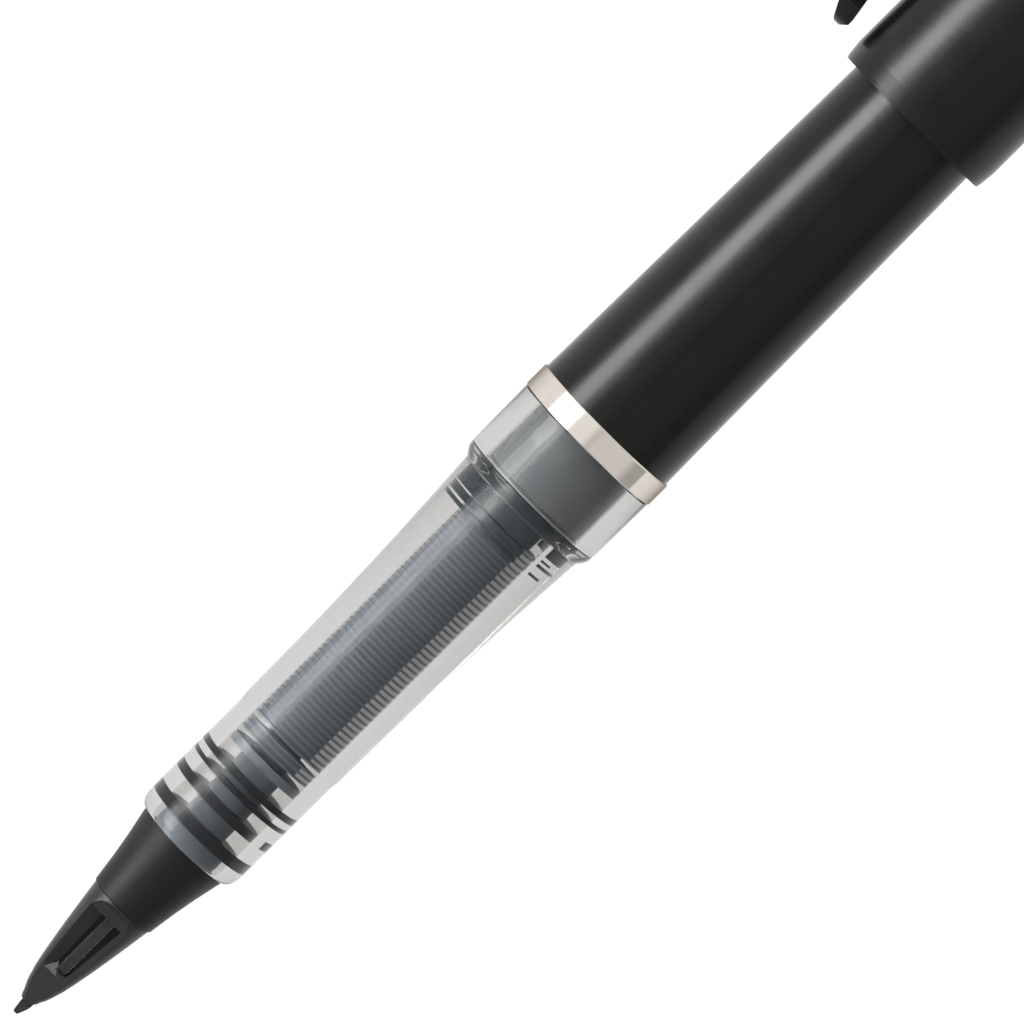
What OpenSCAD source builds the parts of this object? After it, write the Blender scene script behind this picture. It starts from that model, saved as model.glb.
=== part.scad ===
// Refillable sketch pen with a stiff plastic point, drawn with its cap posted on the barrel.
// Every piece is drawn along +Z with the tip of the point at the origin.
// lay() then turns the pen on its side: point towards -X, cap resting on the ground.

/* [Nib] */
// Distance from the tip to the front edge of the nib holder
nib_len = 11.3; // [11:0.05:11.5]
// Half the height of the nib fins at their root
nib_root_r = 2.72; // [2.5:0.02:2.76]
// Half the height of the beak where the fins meet
beak_r = 1.17; // [1:0.01:1.2]
// Half the height of the writing tip
tip_r = 0.2; // [0.15:0.01:0.3]

/* [Nib holder] */
// Radius of the holder cone at its front edge
holder_front_r = 2.84; // [2.8:0.02:3]
// Radius of the holder cone where it meets the clear section
holder_rear_r = 3.96; // [3.8:0.02:4.1]
// Radius of the holder plug inside the collector cup
holder_plug_r = 2.3; // [2.1:0.05:2.4]

/* [Clear section] */
// Distance from the tip to the front face of the clear section
section_z = 17.74; // [17.6:0.01:17.8]
// Radius of the grip at the front
grip_front_r = 4.68; // [4.5:0.02:4.8]
// Radius of the grip at the rear, before the collar
grip_rear_r = 5.65; // [5.5:0.05:5.8]
// Radius of the bore that holds the collector
section_bore_r = 3.38; // [3.36:0.01:3.45]
// Distance from the tip to the start of the collar
collar_z = 52.91; // [52.8:0.01:53]
// Radius of the collar
collar_r = 6.27; // [6.2:0.01:6.28]
// Radius of the collar bore around the ink tank
collar_bore_r = 4.75; // [4.7:0.05:4.8]

/* [Collector] */
// Radius of the collector fins
fin_r = 3.3; // [3.2:0.02:3.34]
// Outer radius of the cup that takes the holder plug
cup_r = 2.88; // [2.7:0.02:3.1]
// Radius of the collector shaft between the fins
shaft_r = 2.15; // [1.9:0.05:2.4]
// Distance between two fins
fin_pitch = 0.48; // [0.44:0.01:0.5]
// Thickness of one fin
fin_t = 0.18; // [0.15:0.01:0.3]
// Number of fins in the long comb
fin_count = 47; // [40:1:47]
// Radius of the collector stub that carries the seal rings
stub_r = 1.9; // [1.6:0.05:2.2]

/* [Ink tank] */
// Outer radius of the ink tank
tank_r = 4.55; // [4.4:0.05:4.6]
// Wall of the ink tank
tank_wall = 0.5; // [0.4:0.05:0.7]
// Distance from the tip to the rear end of the ink tank
tank_end_z = 121.4; // [100:0.2:125]

/* [Barrel] */
// Distance from the tip to the front edge of the barrel
barrel_z = 61.78; // [61.7:0.01:61.9]
// Distance from the tip to the rear end of the barrel
barrel_end_z = 134.84; // [134:0.02:134.9]
// Radius of the barrel at its front edge
barrel_front_r = 6.16; // [6.1:0.01:6.2]
// Radius of the barrel at its rear end
barrel_rear_r = 5.2; // [5.18:0.01:5.25]

/* [Trim ring] */
// Outer radius of the metal trim ring
ring_r = 6.34; // [6.3:0.01:6.4]
// Width of the metal trim ring
ring_w = 2.03; // [1.8:0.01:2.05]

/* [Cap] */
// Distance from the tip to the mouth of the posted cap
cap_z = 93.3; // [93:0.1:93.4]
// Length of the cap
cap_len = 62.7; // [62:0.1:64]
// Outer radius of the cap
cap_r = 6.9; // [6.85:0.05:7.1]

/* [Clip] */
// Width of the clip
clip_w = 3.8; // [2.4:0.1:4]
// Thickness of the clip
clip_t = 1.5; // [1.2:0.05:1.6]
// Distance from the pen axis to the inner face of the clip
clip_inner_r = 9; // [8.9:0.05:9.2]

/* [Hidden] */
$fn = 96;
cut = 0.01;              // overshoot that keeps a cut clear of the face it leaves
fit = 0.05;              // running clearance on a radius
seat = 0.05;             // gap between two faces that part when the pen is opened

// nib and holder
core_rear_z = 14.4;
fins_tail_r = 1.9;
fins_tail_z = 14.9;
socket_z = fins_tail_z + 0.3;
wick_r = 0.5;
wick_hole_r = 0.62;
wick_z = [14.5, 57.4];
plug_end_z = 19.04;
web_t = 0.2;             // web left between the two windows of the fins
facet = 27;              // slope of the long window facet, in degrees
ramp = 30;               // slope of the small facet at the front of the window, in degrees

// clear section and what it holds
spigot_end_z = 66.4;
spigot_r = 5.15;
section_end_z = barrel_z - ring_w - seat;
lip_len = 1.25;
shoulder_len = 0.66;
bore_step_z = 53.95;
ring_front_z = [19.14, 20.09];
ring_middle_z = [21.54, 22.29];
ring_thin_z = [23.38, 23.74];
ring_rear_z = [24.29, 24.84];
disc_z = [26.04, 26.72];
neck_r = 1.6;
comb_front_z = 27.29;
comb_front_fins = 3;
comb_z = 28.86;
comb_end_z = comb_z + fin_count * fin_pitch;
collector_end_z = 53.5;
ink_neck_r = 2.55;
collector_tail_r = 1.5;
tank_plug_z = [52.75, 54.28];
flange_z = 54.1;
flange_r = 4.5;
tank_z = 54.3;
tank_plug_len = 5;

// barrel and cap
barrel_bore_r = 4.8;
barrel_bore_end_z = 133;
spigot_bore_end_z = spigot_end_z + 0.5;
mouth_bore_r = 6.32;
mouth_len = 6.7;
cap_bore_r = 6;
rib_r = 5.77;
rib_count = 6;
rib_len = 8;
inner_cap_z = cap_z + 41.75;
inner_cap_r = 5.2;
inner_cap_wall = 0.8;
top_t = 1.6;
cap_end_z = cap_z + cap_len;
top_z = cap_end_z - top_t;

// clip
clip_tip_z = cap_z + 1.19;
clip_root_z = cap_end_z - 5;
clip_outer_r = clip_inner_r + clip_t;

// where the pen lies: the cap touches the ground and the origin is under the middle of the box
side_mid = (clip_outer_r - cap_r) / 2;

module lay() translate([-cap_end_z / 2, -side_mid, cap_r]) rotate([90, 0, 90]) children();
module spin(points) rotate_extrude() polygon(points);
// a plate whose outline is [height, distance along the pen], centred on the pen axis
module side_plate(points, depth) rotate([90, 0, 0]) linear_extrude(depth, center = true) polygon(points);
// a plain ring between two distances along the pen
module ring(outer, inner, span) spin([[inner, span[0]], [outer, span[0]], [outer, span[1]], [inner, span[1]]]);

function blend(a, b, u, power) = a + (b - a) * pow(u, power);
function barrel_at(z) = blend(barrel_front_r, barrel_rear_r, (z - barrel_z) / (barrel_end_z - barrel_z), 1);

// half height of the nib from the beak back to the root of the fins
beak_z = 2.61;
fins_steps = 9;
fins_outline = [for (i = [0 : fins_steps]) let(u = i / fins_steps)
    [blend(beak_r, nib_root_r, u, 0.76), blend(beak_z, nib_len - seat, u, 1)]];

// flexible point: a flat spear whose blunt tip stands out of the beak
module nib_core() color("#232326") lay() intersection() {
    side_plate([[-tip_r, 0.05], [-tip_r + 0.08, 0], [tip_r - 0.08, 0], [tip_r + 0.02, 0.06], [0.34, 0.89],
        [0.4, 1.6], [0.16, 5], [0.16, core_rear_z], [-0.66, core_rear_z], [-0.66, 5], [-0.6, 1.6],
        [-0.52, 0.89], [-0.42, 0.6]], 4);
    rotate([0, 0, 90]) side_plate([[-0.22, 0], [0.22, 0], [0.3, 0.5], [0.32, 1.6], [0.9, 4.8], [1.2, 10], [1.2, 10.8],
        [0.5, 11.4], [0.5, core_rear_z], [-0.5, core_rear_z], [-0.5, 11.4], [-1.2, 10.8], [-1.2, 10], [-0.9, 4.8],
        [-0.32, 1.6], [-0.3, 0.5]], 4);
}

// slot that the flexible point fills, a little larger all round
module core_slot() intersection() {
    side_plate([[0.42, 0], [0.42, 1.6], [0.162, 5], [0.162, core_rear_z + 0.1], [-0.665, core_rear_z + 0.1],
        [-0.665, 5], [-0.63, 1.6], [-0.63, 0]], 4);
    rotate([0, 0, 90]) side_plate([[-0.34, 0], [0.34, 0], [0.34, 1.6], [0.92, 4.8], [1.22, 10], [1.22, 10.85],
        [0.52, 11.45], [0.52, core_rear_z + 0.1], [-0.52, core_rear_z + 0.1], [-0.52, 11.45], [-1.22, 10.85],
        [-1.22, 10], [-0.92, 4.8], [-0.34, 1.6]], 4);
}

// blind window on one flat of the fins: deep slots beside the point, a long sloping facet on the clip side
// and a small ramp at the front
module window() {
    translate([0, web_t / 2 + 2, 0]) side_plate([[-0.3, 4.5], [0.1, 4.75], [0.44, 5.15], [0.48, 5.5], [0.59, 10],
        [-1.33, 10], [-0.9, 5], [-0.75, 4.6]], 4);
    rotate([0, 0, facet]) translate([0, 0.45, 4.5]) rotate([-3.6, 0, 0]) translate([0, 2, 0])
        side_plate([[0.5, 0.75], [0.72, 0.7], [1.25, -0.15], [1.6, -0.1], [2.6, 0.1], [2.6, 5.5], [0.5, 5.5]], 4);
    translate([0, 1.06, 4.15]) rotate([ramp, 0, 0]) translate([0, 2, 0])
        side_plate([[0.96, 0], [-0.3, 0], [0.44, 1.15]], 4);
}

// fins above and below the point, joined in a beak at the front and a round tail at the rear
module nib_fins() color("#2a2a2c") lay() difference() {
    intersection() {
        spin(concat([[0, 1.2], [0.55, 1.2], [0.7, 1.5], [0.84, 1.86], [1.03, 2.23]], fins_outline,
            [[fins_tail_r, nib_len - seat], [fins_tail_r, fins_tail_z], [0, fins_tail_z]]));
        rotate([0, 0, 90]) side_plate([[-0.5, 1.1], [0.5, 1.1], [0.72, 2.2], [1, 3.8], [1.15, 4.8], [1.82, 10],
            [2.3, 10.8], [2.9, 11.3], [2.9, 15.4], [-2.9, 15.4], [-2.9, 11.3], [-2.3, 10.8], [-1.82, 10],
            [-1.15, 4.8], [-1, 3.8], [-0.72, 2.2]], 8);
    }
    core_slot();
    translate([0, 0, core_rear_z]) cylinder(h = 2, r = wick_hole_r + 0.03);
    window();
    mirror([0, 1, 0]) window();
}

// tapered holder with a socket for the nib tail and a plug for the clear section
module nib_holder() color("#2b2b2d") lay() difference() {
    spin([[0, nib_len], [holder_front_r - 0.04, nib_len], [holder_front_r, nib_len + 0.06],
        [3.16, 13.6], [3.48, 15.4], [holder_rear_r, section_z - 0.05], [holder_rear_r, section_z],
        [holder_plug_r, section_z], [holder_plug_r, plug_end_z], [0, plug_end_z]]);
    translate([0, 0, nib_len - 1]) cylinder(h = socket_z - nib_len + 1, r = fins_tail_r + 0.1);
    translate([0, 0, nib_len]) cylinder(h = 10, r = wick_hole_r);
}

// fibre rod that carries ink from the tank to the point
module ink_wick() color("#3c4650") lay() translate([0, 0, wick_z[0]]) cylinder(h = wick_z[1] - wick_z[0], r = wick_r);

// seal rings on the collector stub, pressed against the bore of the clear section
module seal(span) color("#30363c") lay() ring(section_bore_r - cut, stub_r, span);
module seal_ring_front() seal(ring_front_z);
module seal_ring_middle() seal(ring_middle_z);
module seal_ring_thin() seal(ring_thin_z);
module seal_ring_rear() seal(ring_rear_z);

// clear grip with its collar and the spigot that plugs into the barrel
grip_steps = 7;
grip_outline = [for (i = [0 : grip_steps]) let(u = i / grip_steps)
    [blend(grip_front_r + 0.1, grip_rear_r, u, 1.8), blend(29.2, collar_z, u, 1)]];
lip_outline = [for (a = [0 : 15 : 90]) [holder_rear_r + (grip_front_r - holder_rear_r) * sin(a),
    section_z + lip_len * (1 - cos(a))]];
module section_shell() color("#d6dbe0", 0.4) lay() spin(concat([[section_bore_r, section_z]], lip_outline,
    [[grip_front_r, 28.5]], grip_outline,
    [[collar_r - 0.32, collar_z + shoulder_len / 2], [collar_r - 0.13, collar_z + shoulder_len],
    [collar_r - 0.09, collar_z + 1],
    [collar_r, section_end_z - 0.12], [collar_r - 0.1, section_end_z], [spigot_r, section_end_z],
    [spigot_r, spigot_end_z], [collar_bore_r, spigot_end_z], [collar_bore_r, bore_step_z],
    [section_bore_r, bore_step_z]]));

// finned ink collector: stub, disc, short comb, long comb and tail in one moulding
function fin(z) = [[shaft_r, z], [fin_r, z], [fin_r, z + fin_t], [shaft_r, z + fin_t]];
module collector() color("#6c7882") lay() difference() {
    spin(concat([[0, plug_end_z + 0.02], [holder_plug_r + cut, plug_end_z + 0.02],
        [holder_plug_r + cut, section_z + 0.05], [cup_r, section_z + 0.05], [cup_r, ring_front_z[0] - cut],
        [stub_r, ring_front_z[0] - cut], [stub_r, disc_z[0]], [fin_r, disc_z[0]],
        [fin_r, disc_z[1]], [neck_r, disc_z[1]], [neck_r, comb_front_z], [shaft_r, comb_front_z]],
        [for (i = [0 : comb_front_fins - 1]) each fin(comb_front_z + fin_pitch * i)],
        [[shaft_r, comb_z - 0.3], [neck_r, comb_z - 0.3], [neck_r, comb_z], [shaft_r, comb_z]],
        [for (i = [0 : fin_count - 1]) each fin(comb_z + fin_pitch * i)],
        [[ink_neck_r, comb_end_z], [ink_neck_r, tank_plug_z[0] - cut], [collector_tail_r, tank_plug_z[0] - cut],
        [collector_tail_r, collector_end_z], [0, collector_end_z]]));
    translate([0, 0, plug_end_z - 1]) cylinder(h = 40, r = wick_hole_r);
}

// stopper between the collector and the tank, with a flange in the collar
module tank_plug() color("#3a444c") lay() spin([[collector_tail_r + cut, tank_plug_z[0]],
    [section_bore_r - 0.04, tank_plug_z[0]], [section_bore_r - 0.04, flange_z], [flange_r, flange_z],
    [flange_r, tank_plug_z[1]], [wick_hole_r, tank_plug_z[1]], [wick_hole_r, collector_end_z + cut],
    [collector_tail_r + cut, collector_end_z + cut]]);

// thin gasket between the flange and the step of the bore
module tank_gasket() color("#aab0b4") lay() ring(flange_r, section_bore_r + 0.1, [bore_step_z + cut, flange_z - cut]);

// tube that holds the ink, open at the rear for its end plug
module ink_tank() color("#666b70") lay() spin([[wick_hole_r, tank_z], [tank_r - 0.08, tank_z], [tank_r, tank_z + 0.08],
    [tank_r, tank_end_z], [tank_r - tank_wall, tank_end_z], [tank_r - tank_wall, tank_z + 1],
    [wick_hole_r, tank_z + 1]]);

// plug that closes the rear end of the tank
module tank_end_plug() color("#55595d") lay() spin([[0, tank_end_z - tank_plug_len],
    [tank_r - tank_wall - cut, tank_end_z - tank_plug_len], [tank_r - tank_wall - cut, tank_end_z + cut],
    [tank_r, tank_end_z + cut], [tank_r, tank_end_z + 1.2], [0, tank_end_z + 1.2]]);

// metal ring between the collar and the barrel
module trim_ring() color("#cfc6bd") lay() spin([[spigot_r + fit, barrel_z - ring_w], [ring_r - 0.08, barrel_z - ring_w],
    [ring_r, barrel_z - ring_w + 0.08], [ring_r, barrel_z - 0.1], [ring_r - 0.08, barrel_z],
    [spigot_r + fit, barrel_z]]);

// tapered barrel, closed at the rear
module barrel() color("#2a2926") lay() spin([[spigot_r + fit, barrel_z], [barrel_front_r, barrel_z],
    [barrel_rear_r + 0.02, barrel_end_z - 0.8], [barrel_rear_r - 0.2, barrel_end_z - 0.2],
    [barrel_rear_r - 0.6, barrel_end_z], [0, barrel_end_z], [0, barrel_bore_end_z],
    [barrel_bore_r, barrel_bore_end_z], [barrel_bore_r, spigot_bore_end_z], [spigot_r + fit, spigot_bore_end_z]]);

// cap: hollow shell with grip ribs inside the mouth
module cap_shell() color("#2c2b29") lay() {
    spin([[mouth_bore_r, cap_z], [cap_r - 0.2, cap_z], [cap_r - 0.13, cap_z + 0.3], [cap_r, cap_z + 1.5],
        [cap_r, cap_end_z - top_t], [cap_bore_r, cap_end_z - top_t], [cap_bore_r, cap_z + mouth_len],
        [mouth_bore_r, cap_z + mouth_len - 0.3]]);
    for (i = [0 : rib_count - 1]) rotate([0, 0, 360 / rib_count * i])
        translate([rib_r, -0.4, cap_z + mouth_len + 0.3]) cube([cap_bore_r - rib_r + 0.3, 0.8, rib_len]);
}

// liner that seals the point when the pen is capped
module inner_cap() color("#3a3a3a") lay() spin([[inner_cap_r - inner_cap_wall, inner_cap_z],
    [inner_cap_r, inner_cap_z], [inner_cap_r, top_z - 3], [cap_bore_r - cut, top_z - 3],
    [cap_bore_r - cut, top_z - 1.5], [0, top_z - 1.5], [0, top_z - 2.5],
    [inner_cap_r - inner_cap_wall, top_z - 2.5]]);

// end of the cap with the arm that the clip springs from
module cap_top() color("#242423") lay() {
    spin([[0, top_z - 1.4], [cap_bore_r - cut, top_z - 1.4], [cap_bore_r - cut, top_z], [cap_r, top_z],
        [cap_r, cap_end_z - 0.5], [cap_r - 0.15, cap_end_z - 0.15], [cap_r - 0.5, cap_end_z], [0, cap_end_z]]);
    side_plate([[5, top_z + cut], [cap_r + 0.05, top_z + cut], [cap_r + 0.05, clip_root_z + seat],
        [clip_outer_r, clip_root_z + seat], [clip_outer_r, cap_end_z - 1], [clip_outer_r - 1, cap_end_z],
        [5, cap_end_z]], clip_w);
}

// clip: a springy bar with a turned-in end, round when seen from the side
module clip() color("#151516") lay() intersection() {
    side_plate([[clip_inner_r - 0.15, clip_tip_z], [clip_inner_r - 0.7, clip_tip_z + 0.5],
        [clip_inner_r - 0.7, clip_tip_z + 1], [clip_inner_r - 0.25, clip_tip_z + 3.8],
        [clip_inner_r, clip_tip_z + 7], [clip_inner_r, clip_root_z], [clip_outer_r, clip_root_z],
        [clip_outer_r, clip_tip_z + 5], [clip_outer_r - 0.1, clip_tip_z + 2.5],
        [clip_outer_r - 0.43, clip_tip_z + 1.3], [clip_outer_r - 1, clip_tip_z + 0.2],
        [clip_outer_r - 1.2, clip_tip_z]], clip_w);
    rotate([0, 90, 0]) linear_extrude(20) {
        translate([-clip_tip_z - clip_w / 2, 0]) circle(clip_w / 2);
        translate([-cap_end_z, -clip_w / 2]) square([cap_end_z - clip_tip_z - clip_w / 2, clip_w]);
    }
}

nib_core();
nib_fins();
nib_holder();
ink_wick();
seal_ring_front();
seal_ring_middle();
seal_ring_thin();
seal_ring_rear();
section_shell();
collector();
tank_plug();
tank_gasket();
ink_tank();
tank_end_plug();
trim_ring();
barrel();
cap_shell();
inner_cap();
cap_top();
clip();
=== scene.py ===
"""Looks for the refillable sketch pen: finishes, fine pieces, studio and camera round the CAD frame."""
import math

import bmesh
import bpy
from mathutils import Matrix, Vector


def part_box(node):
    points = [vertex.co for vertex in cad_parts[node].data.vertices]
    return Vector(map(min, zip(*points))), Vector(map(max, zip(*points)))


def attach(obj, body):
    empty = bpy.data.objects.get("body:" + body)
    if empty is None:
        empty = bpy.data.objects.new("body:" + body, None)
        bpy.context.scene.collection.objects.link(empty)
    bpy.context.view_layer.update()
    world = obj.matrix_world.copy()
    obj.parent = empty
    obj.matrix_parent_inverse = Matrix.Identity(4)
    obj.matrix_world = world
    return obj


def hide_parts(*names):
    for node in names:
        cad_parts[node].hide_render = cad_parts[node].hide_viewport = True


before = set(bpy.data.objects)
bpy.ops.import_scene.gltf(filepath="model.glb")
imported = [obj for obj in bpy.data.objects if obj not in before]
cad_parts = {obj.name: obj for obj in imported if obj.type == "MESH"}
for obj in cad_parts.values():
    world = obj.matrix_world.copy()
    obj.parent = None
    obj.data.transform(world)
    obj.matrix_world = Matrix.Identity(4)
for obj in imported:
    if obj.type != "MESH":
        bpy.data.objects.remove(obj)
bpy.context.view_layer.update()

MM = 0.001
FULL_TURN = 2 * math.pi

# ---------------------------------------------------------------- places, from the frame
AXIS_Y = sum(c.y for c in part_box("barrel")) / 2
AXIS_Z = sum(c.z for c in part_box("barrel")) / 2
TIP_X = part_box("nib_core")[0].x


def span(node):
    """Front and rear of a node along the pen, in millimetres from the tip."""
    low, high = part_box(node)
    return (low.x - TIP_X) / MM, (high.x - TIP_X) / MM


def place(along, out, angle):
    """A point at a distance along the pen and out from its axis, in millimetres.
    The angle is 0 on top of the pen and a quarter turn on the clip's side, +Y."""
    across, up = out * MM * math.sin(angle), out * MM * math.cos(angle)
    return Vector((TIP_X + along * MM, AXIS_Y + across, AXIS_Z + up))


# ---------------------------------------------------------------- mesh helpers
SHARP_ANGLE = math.radians(30)      # edges that turn more than this stay crisp


def finish_mesh(name, bm, finish, body, replaces=()):
    """Makes a smooth piece of the mesh, which rides on a body and stands for the CAD nodes it replaces."""
    bmesh.ops.recalc_face_normals(bm, faces=bm.faces)
    mesh = bpy.data.meshes.new(name)
    bm.to_mesh(mesh)
    bm.free()
    mesh.polygons.foreach_set("use_smooth", [True] * len(mesh.polygons))
    mesh.set_sharp_from_angle(angle=SHARP_ANGLE)
    mesh.materials.append(finish)
    piece = bpy.data.objects.new(name, mesh)
    bpy.context.scene.collection.objects.link(piece)
    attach(piece, body)
    if replaces:
        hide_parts(*replaces)


def rounded(corners, steps=4):
    """Corners are (along, out, reach of the rounding); returns the outline with its corners rounded."""
    outline = []
    count = len(corners)
    for i, (x, y, r) in enumerate(corners):
        here = Vector((x, y))
        if r == 0:
            outline.append(here)
            continue
        before = Vector(corners[i - 1][:2]) - here
        after = Vector(corners[(i + 1) % count][:2]) - here
        reach = min(r, before.length / 2, after.length / 2)
        start = here + before.normalized() * reach
        end = here + after.normalized() * reach
        for k in range(steps + 1):
            t = k / steps
            outline.append(start * (1 - t) ** 2 + here * 2 * t * (1 - t) + end * t * t)
    return [(p.x, p.y) for p in outline]


def lathe(bm, outline, segments=192):
    """Turns a closed outline of (along, out) points round the pen's axis."""
    turns = [FULL_TURN * k / segments for k in range(segments)]
    rings = [[bm.verts.new(place(along, out, a)) for a in turns] for along, out in outline]
    for i, ring in enumerate(rings):
        after = rings[(i + 1) % len(rings)]
        for k in range(segments):
            n = (k + 1) % segments
            bm.faces.new((ring[k], ring[n], after[n], after[k]))


def patch(bm, along, inner, outer, start, end, steps=40):
    """A curved block between two distances along the pen, two radii and two angles in degrees."""
    rows = []
    for k in range(steps + 1):
        a = math.radians(start + (end - start) * k / steps)
        rows.append([bm.verts.new(place(x, r, a)) for x, r in
                     ((along[0], inner), (along[0], outer), (along[1], outer), (along[1], inner))])
    for a, b in zip(rows, rows[1:]):
        for k in range(4):
            bm.faces.new((a[k], a[(k + 1) % 4], b[(k + 1) % 4], b[k]))
    bm.faces.new(rows[0])
    bm.faces.new(rows[-1])


# ---------------------------------------------------------------- material helpers
def material(name, **sockets):
    """An empty material with one principled shader; sockets sets the shader's plain inputs."""
    mat = bpy.data.materials.new(name)
    mat.use_nodes = True
    nodes = mat.node_tree.nodes
    nodes.clear()
    out = nodes.new("ShaderNodeOutputMaterial")
    shader = nodes.new("ShaderNodeBsdfPrincipled")
    mat.node_tree.links.new(shader.outputs[0], out.inputs[0])
    for key, value in sockets.items():
        shader.inputs[key].default_value = value
    return mat, mat.node_tree, shader


def millimetres(tree, scale=(1, 1, 1)):
    """Coordinates in millimetres, stretched by scale."""
    coords = tree.nodes.new("ShaderNodeTexCoord")
    mapping = tree.nodes.new("ShaderNodeMapping")
    mapping.inputs["Scale"].default_value = [s / MM for s in scale]
    tree.links.new(coords.outputs["Object"], mapping.inputs["Vector"])
    return mapping.outputs["Vector"]


def noise(tree, vector, scale, detail):
    node = tree.nodes.new("ShaderNodeTexNoise")
    node.inputs["Scale"].default_value = scale
    node.inputs["Detail"].default_value = detail
    tree.links.new(vector, node.inputs["Vector"])
    return node.outputs["Fac"]


def spread(tree, value, low, high, from_low=0.3, from_high=0.7):
    """Maps a value onto low to high; the default ends are those that noise mostly stays within."""
    node = tree.nodes.new("ShaderNodeMapRange")
    for key, number in (("From Min", from_low), ("From Max", from_high), ("To Min", low), ("To Max", high)):
        node.inputs[key].default_value = number
    tree.links.new(value, node.inputs["Value"])
    return node.outputs["Result"]


def mixed(tree, share, first, second):
    """A colour between two, by share."""
    node = tree.nodes.new("ShaderNodeMix")
    node.data_type = "RGBA"
    node.inputs["A"].default_value = (*first, 1)
    node.inputs["B"].default_value = (*second, 1)
    tree.links.new(share, node.inputs["Factor"])
    return node.outputs["Result"]


def bump(tree, shader, height, depth):
    """Surface relief, with its depth in millimetres."""
    node = tree.nodes.new("ShaderNodeBump")
    node.inputs["Distance"].default_value = depth * MM
    tree.links.new(height, node.inputs["Height"])
    tree.links.new(node.outputs["Normal"], shader.inputs["Normal"])


def moulded(name, dark, light, rough, grain=8.0, depth=0.004, ior=1.5):
    """Moulded plastic: fine surface grain, slow colour and gloss changes."""
    mat, tree, shader = material(name, IOR=ior)
    where = millimetres(tree)
    fine = noise(tree, where, grain, 2)
    slow = noise(tree, where, 0.35, 4)
    tree.links.new(mixed(tree, slow, dark, light), shader.inputs["Base Color"])
    tree.links.new(spread(tree, slow, *rough), shader.inputs["Roughness"])
    bump(tree, shader, fine, depth)
    return mat


def clear_plastic(name):
    """Clear moulding: a slight grey tint at its faces and in its depth."""
    mat, tree, shader = material(name, Roughness=0.015, IOR=1.49)
    shader.inputs["Transmission Weight"].default_value = 1.0
    shader.inputs["Specular Tint"].default_value = (0.2, 0.2, 0.2, 1)
    depth = tree.nodes.new("ShaderNodeVolumeAbsorption")
    depth.inputs["Color"].default_value = (0.3, 0.29, 0.27, 1)
    depth.inputs["Density"].default_value = 95
    out = next(n for n in tree.nodes if n.type == "OUTPUT_MATERIAL")
    tree.links.new(depth.outputs[0], out.inputs["Volume"])
    where = millimetres(tree, (0.3, 1, 1))
    haze = noise(tree, where, 0.5, 5)
    tree.links.new(mixed(tree, haze, (0.73, 0.725, 0.715), (0.76, 0.755, 0.745)), shader.inputs["Base Color"])
    bump(tree, shader, noise(tree, where, 0.8, 2), 0.004)
    return mat


def ringed_metal(name):
    """Warm plated metal with faint turning marks round the pen."""
    mat, tree, shader = material(name, Metallic=1.0)
    shader.inputs["Specular Tint"].default_value = (0.35, 0.34, 0.32, 1)
    where = millimetres(tree, (12, 0.4, 0.4))
    marks = noise(tree, where, 1.0, 4)
    tree.links.new(mixed(tree, marks, (0.62, 0.57, 0.52), (0.7, 0.65, 0.6)), shader.inputs["Base Color"])
    tree.links.new(spread(tree, marks, 0.06, 0.12), shader.inputs["Roughness"])
    bump(tree, shader, marks, 0.002)
    return mat


# ---------------------------------------------------------------- materials
SATIN_BLACK = ((0.0014, 0.0013, 0.001), (0.0024, 0.0023, 0.002))
BARREL = moulded("satin_black_barrel", *SATIN_BLACK, (0.2, 0.26), ior=1.284)
CAP = moulded("satin_black_cap", *SATIN_BLACK, (0.24, 0.3), ior=1.284)
NIB = moulded("nib_black", (0.006, 0.006, 0.0065), (0.012, 0.012, 0.0125), (0.28, 0.4), 5.0, 0.006, 1.3)
HOLDER = moulded("holder_black", (0.003, 0.003, 0.0033), (0.006, 0.0055, 0.006), (0.38, 0.48),
                 4.0, 0.006, 1.24)
GLOSS = moulded("gloss_black", (0.001, 0.001, 0.001), (0.002, 0.002, 0.002), (0.06, 0.12), 3.0, 0.001, 1.3)
SEAL = moulded("seal_dark", (0.008, 0.01, 0.0125), (0.014, 0.0165, 0.02), (0.35, 0.5), ior=1.3)
INK = moulded("ink_film", (0.012, 0.022, 0.03), (0.03, 0.045, 0.052), (0.2, 0.35))
COLLECTOR = moulded("collector_grey", (0.17, 0.195, 0.225), (0.215, 0.24, 0.27), (0.4, 0.55), ior=1.15)
TANK = moulded("tank_grey", (0.15, 0.162, 0.172), (0.18, 0.192, 0.204), (0.25, 0.35), ior=1.28)
GASKET = moulded("gasket_pale", (0.5, 0.52, 0.54), (0.6, 0.62, 0.64), (0.3, 0.45))
LINER = moulded("liner_grey", (0.04, 0.04, 0.04), (0.06, 0.06, 0.06), (0.4, 0.5))
HELD_INK = moulded("held_ink", (0.125, 0.145, 0.17), (0.165, 0.185, 0.21), (0.4, 0.55), ior=1.15)
# Painted light: a pale finish for the blocks that stand in for the light seen through the gaps between the
# fins.
PAINTED_LIGHT_PALE = moulded("pale_painted_gap_light", (0.72, 0.72, 0.71), (0.8, 0.8, 0.79), (0.5, 0.6), ior=1.2)
CLEAR = clear_plastic("clear_plastic")
METAL = ringed_metal("trim_metal")

FINISHES = {
    BARREL: ["barrel"], CAP: ["cap_shell", "cap_top"], NIB: ["nib_core", "nib_fins"], HOLDER: ["nib_holder"],
    GLOSS: ["clip"], SEAL: ["seal_ring_front", "seal_ring_middle", "seal_ring_thin", "seal_ring_rear"],
    INK: ["ink_wick"], COLLECTOR: ["collector"], TANK: ["ink_tank", "tank_end_plug", "tank_plug"],
    GASKET: ["tank_gasket"], LINER: ["inner_cap"], METAL: ["trim_ring"], CLEAR: ["section_shell"],
}
for finish, members in FINISHES.items():
    for member in members:
        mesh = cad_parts[member].data
        mesh.materials.clear()
        mesh.materials.append(finish)


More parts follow.
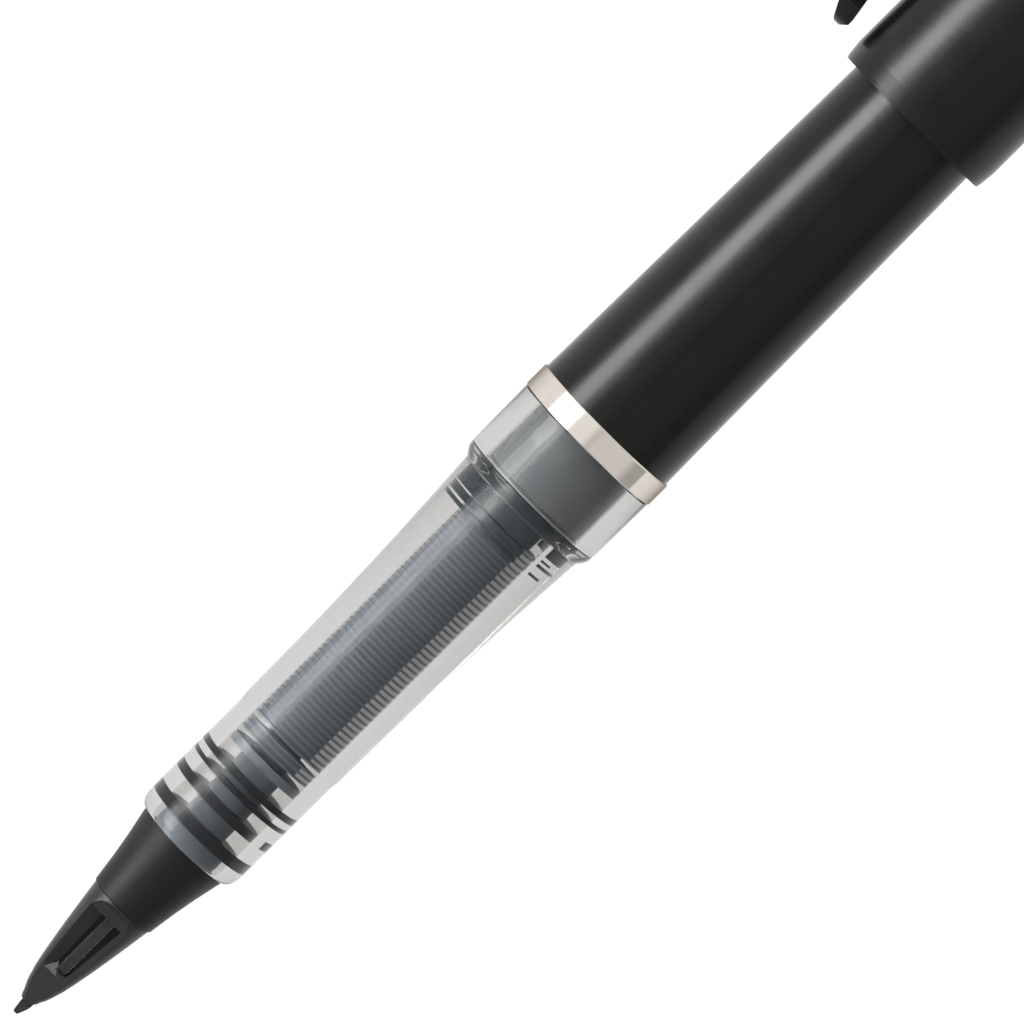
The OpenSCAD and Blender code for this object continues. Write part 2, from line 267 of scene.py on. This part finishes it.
# ---------------------------------------------------------------- clear section, in millimetres from the tip
BORE = 3.38                         # radius of the bore round the collector
TANK_BORE = 4.75                    # and of the bore round the tank
BORE_STEP = 53.95                   # where the one gives way to the other
CONTACT = 0.02                      # how far a ring or an ink film presses into the wall that it wets
LIP_LENGTH = 1.25                   # the rounded front lip
LIP_FRONT_R, LIP_REAR_R = 3.96, 4.68
RING_STRETCH_END = 28.5             # the straight stretch over the seal rings
GRIP_START, GRIP_FRONT_R = 29.2, 4.78
COLLAR, GRIP_REAR_R = 52.91, 5.65   # where the grip ends and the collar starts
GRIP_FLARE = 1.8                    # more than 1 keeps the front of the grip nearly straight
COLLAR_REAR_R = 6.27
# The shoulder's corners: distance behind the start of the collar, radius, and reach of the rounding.
SHOULDER = ((0, GRIP_REAR_R, 0.12), (0.33, 5.92, 0.2), (0.66, 6.11, 0.25), (1, 6.18, 0.3))
SPIGOT_R = 5.15                     # the spigot that goes into the barrel
SEAT_GAP = 0.05                     # between the collar and the trim ring
RING_INNER = 1.9                    # the seal rings' inner radius, inside the piece that they sit on
RING_SHORT = 0.04                   # how far a ring that doesn't wet the bore all round stays off it
ARC_DEPTH = 0.1                     # and how deep its wetting arcs go
WETTING_ARCS = {                    # in degrees; a ring without arcs wets the bore all round
    "seal_ring_front": (), "seal_ring_middle": ((-16, 150), (-115, -80)), "seal_ring_thin": (),
    "seal_ring_rear": (),
}


def clear_section():
    """The section's shell, with its lip, flared grip, collar, spigot and stepped bore."""
    front, rear = span("section_shell")
    seat = span("trim_ring")[0] - SEAT_GAP
    lip_turns = [math.radians(6 * k) for k in range(16)]
    lip = [(front + LIP_LENGTH * (1 - math.cos(a)), LIP_FRONT_R + (LIP_REAR_R - LIP_FRONT_R) * math.sin(a), 0)
           for a in lip_turns]
    grip = [(GRIP_START + (COLLAR - GRIP_START) * u,
             GRIP_FRONT_R + (GRIP_REAR_R - GRIP_FRONT_R) * u ** GRIP_FLARE, 0)
            for u in [k / 24 for k in range(24)]]
    shoulder = [(COLLAR + along, out, reach) for along, out, reach in SHOULDER]
    front_end = [(front, BORE, 0.1)] + lip + [(RING_STRETCH_END, LIP_REAR_R, 0.25)]
    rear_end = [(seat, COLLAR_REAR_R, 0.06), (seat, SPIGOT_R, 0.05), (rear, SPIGOT_R, 0.1),
                (rear, TANK_BORE, 0.1), (BORE_STEP, TANK_BORE, 0.15), (BORE_STEP, BORE, 0.1)]
    bm = bmesh.new()
    lathe(bm, rounded(front_end + grip + shoulder + rear_end), 256)
    finish_mesh("clear_section", bm, CLEAR, "refill", ["section_shell"])


def seal_rings():
    """The dark rings, where each is seen through the wall that it wets."""
    for node, arcs in WETTING_ARCS.items():
        along = span(node)
        outer = BORE - RING_SHORT if arcs else BORE + CONTACT
        bm = bmesh.new()
        lathe(bm, [(along[0], RING_INNER), (along[0], outer), (along[1], outer), (along[1], RING_INNER)])
        for start, end in arcs:
            patch(bm, along, BORE - ARC_DEPTH, BORE + CONTACT, start, end)
        finish_mesh(node + "_band", bm, SEAL, "refill", [node])


# ---------------------------------------------------------------- ink in the collector, and painted light in its gaps
FILM = 0.05                         # thickness of the ink held against the bore
FILM_ARC = (-36, 125)               # the arc that the large films cover, in degrees
FILMS = (
    ((50.03, 50.36), FILM_ARC), ((50.56, 51.21), FILM_ARC), ((51.34, 52.96), FILM_ARC),
    ((50.12, 50.34), (-88, -62)), ((50.97, 51.22), (-112, -62)), ((51.44, 51.62), (-84, -62)),
    ((51.92, 53.9), (-118, -62)), ((53.4, 53.9), (0, 360)),
)
FRONT_FINS = (27.5, 28.3)           # the two groups of fins, from inside their first to inside their last fin
COMB_FINS = (29.1, 51.3)
INK_ARC, INK_RADII = (-37, 217), (2.1, 3.12)     # the gaps between the fins hold ink on this arc
PAINTED_LIGHT_ARC, PAINTED_LIGHT_RADII = (-142, -38), (2.2, 3.2)     # and painted light on the rest: a pale block that stands in for light seen through the gaps
PAINTED_LIGHT_SHORTER = 0.1                   # the painted light stops this much before the ink does


def ink_film():
    """Ink held against the bore at the rear of the collector, where the fins look dark."""
    bm = bmesh.new()
    for along, arc in FILMS:
        patch(bm, along, BORE - FILM, BORE + CONTACT, *arc)
    finish_mesh("ink_film", bm, INK, "refill")


def comb_ink():
    """Ink held between the fins, all round but for the side away from the clip."""
    bm = bmesh.new()
    for along in (FRONT_FINS, COMB_FINS):
        patch(bm, along, *INK_RADII, *INK_ARC, 60)
    finish_mesh("comb_ink", bm, HELD_INK, "refill")


def comb_gaps_painted_light():
    """The rest of the way round, pale blocks in the gaps: painted light that stands in for the light seen
    through them.
    """
    bm = bmesh.new()
    for front, rear in (FRONT_FINS, COMB_FINS):
        patch(bm, (front, rear - PAINTED_LIGHT_SHORTER), *PAINTED_LIGHT_RADII, *PAINTED_LIGHT_ARC)
    finish_mesh("comb_gaps_painted_light", bm, PAINTED_LIGHT_PALE, "refill")


# ---------------------------------------------------------------- softened edges
WELD_GAP = 0.001                    # the solids come with their faces apart, so edges are joined first


def rounded_edges(node, width, segments):
    """Takes the sharp edges off a CAD piece, over a width in millimetres."""
    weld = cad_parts[node].modifiers.new("joined", "WELD")
    weld.merge_threshold = WELD_GAP * MM
    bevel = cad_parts[node].modifiers.new("rounded_edges", "BEVEL")
    bevel.width = width * MM
    bevel.segments = segments
    bevel.limit_method = "ANGLE"
    bevel.angle_limit = SHARP_ANGLE
    bevel.harden_normals = True


rounded_edges("clip", width=0.45, segments=5)
rounded_edges("nib_fins", width=0.03, segments=2)
rounded_edges("nib_core", width=0.04, segments=2)
clear_section()
seal_rings()
ink_film()
comb_ink()
comb_gaps_painted_light()

# ---------------------------------------------------------------- studio
VIEW_TILT = math.radians(4.37)      # the camera stands a little towards the cap
AXIS_SLOPE = math.radians(44.8)     # the pen's slope in the picture
VIEW_DISTANCE = 0.7                 # from the camera to the pen, in metres
VIEW_WIDTH = 0.0753                 # width of the picture at the pen, in metres
VIEW_ALONG = 52.28                  # what the camera looks at: millimetres from the tip
VIEW_SIDE = 0.36                    # and millimetres to the clip's side of the axis
SENSOR_WIDTH = 36
FLOOR_REACH = 4                     # the floor's half width, in metres
FLOOR_GLOW = 0.985                  # the floor lights itself, so that it stays almost white

KEY_REACH = 0.6                     # the strips of light beside the pen reach this far either way along X
KEY_JOIN = -0.035                   # where the dimmer front part of the narrow strip meets the rest
LIGHT_DISTANCE = 0.5                # from the pen to the narrow strip, and to the light beyond the cap

# The studio's brightness, as stops of (Y of the direction, level). The clip is on the + side.
FAR_SIDE = ((-1.0, 0.5), (-0.95, 0.5), (-0.85, 0.85))
CLIP_SIDE = ((0.06, 0.9), (0.15, 1.1), (1.0, 1.1))
PLAIN_SKY = FAR_SIDE + ((0.0, 0.85),) + CLIP_SIDE
PATCHED_SKY = FAR_SIDE + ((-0.12, 0.85), (-0.09, 0.05), (0.0, 0.05)) + CLIP_SIDE
PATCH_FADES, PATCH_ENDS = 0.02, 0.05     # X of the direction where the dark patch fades, and where it ends


def camera():
    """Looks down at the pen, with the pen sloping up from the tip to the cap across the picture."""
    back = Vector((math.sin(VIEW_TILT), 0, math.cos(VIEW_TILT)))
    along = Vector((math.cos(VIEW_TILT), 0, -math.sin(VIEW_TILT)))
    side = Vector((0, 1, 0))
    right = along * math.cos(AXIS_SLOPE) - side * math.sin(AXIS_SLOPE)
    up = along * math.sin(AXIS_SLOPE) + side * math.cos(AXIS_SLOPE)
    data = bpy.data.cameras.new("camera")
    data.sensor_width = SENSOR_WIDTH
    data.lens = data.sensor_width * VIEW_DISTANCE / VIEW_WIDTH
    data.clip_start, data.clip_end = 0.05, 20
    cam = bpy.data.objects.new("camera", data)
    bpy.context.scene.collection.objects.link(cam)
    turn = Matrix((right, up, back)).transposed().to_4x4()
    target = place(VIEW_ALONG, 0, 0) + side * VIEW_SIDE * MM
    cam.matrix_world = Matrix.Translation(target + back * VIEW_DISTANCE) @ turn
    bpy.context.scene.camera = cam


def softbox(name, target, back, distance, width, length, radiance):
    """A rectangle of light that faces a target and stands back from it. Its length lies along X, or along Y
    when it stands beyond an end of the pen."""
    data = bpy.data.lights.new(name, "AREA")
    data.shape = "RECTANGLE"
    data.size, data.size_y = length, width
    data.energy = radiance * math.pi * width * length
    light = bpy.data.objects.new(name, data)
    bpy.context.scene.collection.objects.link(light)
    long_way = Vector((1, 0, 0)) if abs(back.x) < 0.5 else Vector((0, 1, 0))
    turn = Matrix((long_way, back.cross(long_way), back)).transposed().to_4x4()
    light.matrix_world = Matrix.Translation(target + back * distance) @ turn


def strip_light(name, angle, start, end, distance, width, radiance):
    """A softbox along the pen on the clip's side, from start to end along X."""
    middle = Vector(((start + end) / 2, 0, AXIS_Z))
    softbox(name, middle, beside(angle), distance, width, end - start, radiance)


def beside(angle):
    """The direction at an angle from straight up towards the clip's side, in degrees."""
    return Vector((0, math.sin(math.radians(angle)), math.cos(math.radians(angle))))


def beyond_cap(angle):
    """The direction at an angle from straight up towards the cap's closed end, in degrees."""
    return Vector((math.sin(math.radians(angle)), 0, math.cos(math.radians(angle))))


def floor():
    """A plain, almost white floor."""
    bm = bmesh.new()
    bmesh.ops.create_grid(bm, x_segments=4, y_segments=4, size=FLOOR_REACH)
    mesh = bpy.data.meshes.new("floor")
    bm.to_mesh(mesh)
    bm.free()
    plane = bpy.data.objects.new("floor", mesh)
    bpy.context.scene.collection.objects.link(plane)
    mat, tree, shader = material("floor_white", Roughness=0.9)
    shader.inputs["Base Color"].default_value = (0.04, 0.04, 0.04, 1)
    shader.inputs["Specular IOR Level"].default_value = 0.0
    shader.inputs["Emission Color"].default_value = (1, 1, 1, 1)
    shader.inputs["Emission Strength"].default_value = FLOOR_GLOW
    mesh.materials.append(mat)


def sky_levels(tree, across, stops):
    """Brightness of the studio by direction: stops are (Y of the direction, level)."""
    ramp = tree.nodes.new("ShaderNodeValToRGB")
    while len(ramp.color_ramp.elements) < len(stops):
        ramp.color_ramp.elements.new(0.5)
    for element, (where, level) in zip(ramp.color_ramp.elements, stops):
        element.position = (where + 1) / 2
        element.color = (level, level, level, 1)
    tree.links.new(across, ramp.inputs["Fac"])
    return ramp.outputs["Color"]


def surroundings():
    """Pale studio: brighter on the clip's side, dimmer on the other, with a small dark patch overhead."""
    world = bpy.data.worlds.new("studio")
    bpy.context.scene.world = world
    world.use_nodes = True
    tree = world.node_tree
    tree.nodes.clear()
    coords = tree.nodes.new("ShaderNodeTexCoord")
    split = tree.nodes.new("ShaderNodeSeparateXYZ")
    tree.links.new(coords.outputs["Generated"], split.inputs[0])
    across = spread(tree, split.outputs["Y"], 0, 1, -1, 1)
    off_middle = tree.nodes.new("ShaderNodeMath")
    off_middle.operation = "ABSOLUTE"
    tree.links.new(split.outputs["X"], off_middle.inputs[0])
    patch_share = spread(tree, off_middle.outputs[0], 1, 0, PATCH_FADES, PATCH_ENDS)
    blend = tree.nodes.new("ShaderNodeMix")
    blend.data_type = "RGBA"
    tree.links.new(patch_share, blend.inputs["Factor"])
    tree.links.new(sky_levels(tree, across, PLAIN_SKY), blend.inputs["A"])
    tree.links.new(sky_levels(tree, across, PATCHED_SKY), blend.inputs["B"])
    background = tree.nodes.new("ShaderNodeBackground")
    out = tree.nodes.new("ShaderNodeOutputWorld")
    tree.links.new(blend.outputs["Result"], background.inputs["Color"])
    tree.links.new(background.outputs[0], out.inputs[0])


camera()
floor()
surroundings()
strip_light("key_light", 54.5, KEY_JOIN, KEY_REACH, LIGHT_DISTANCE, width=0.19, radiance=16.5)
strip_light("key_front", 54.5, -KEY_REACH, KEY_JOIN, LIGHT_DISTANCE, width=0.19, radiance=9)
strip_light("key_wide", 53, -KEY_REACH, KEY_REACH, distance=0.52, width=0.378, radiance=3.3)
softbox("end_light", place(5, 0, 0), beyond_cap(55.6), LIGHT_DISTANCE, width=0.14, length=0.14, radiance=16)
bpy.context.scene.view_settings.view_transform = "Standard"
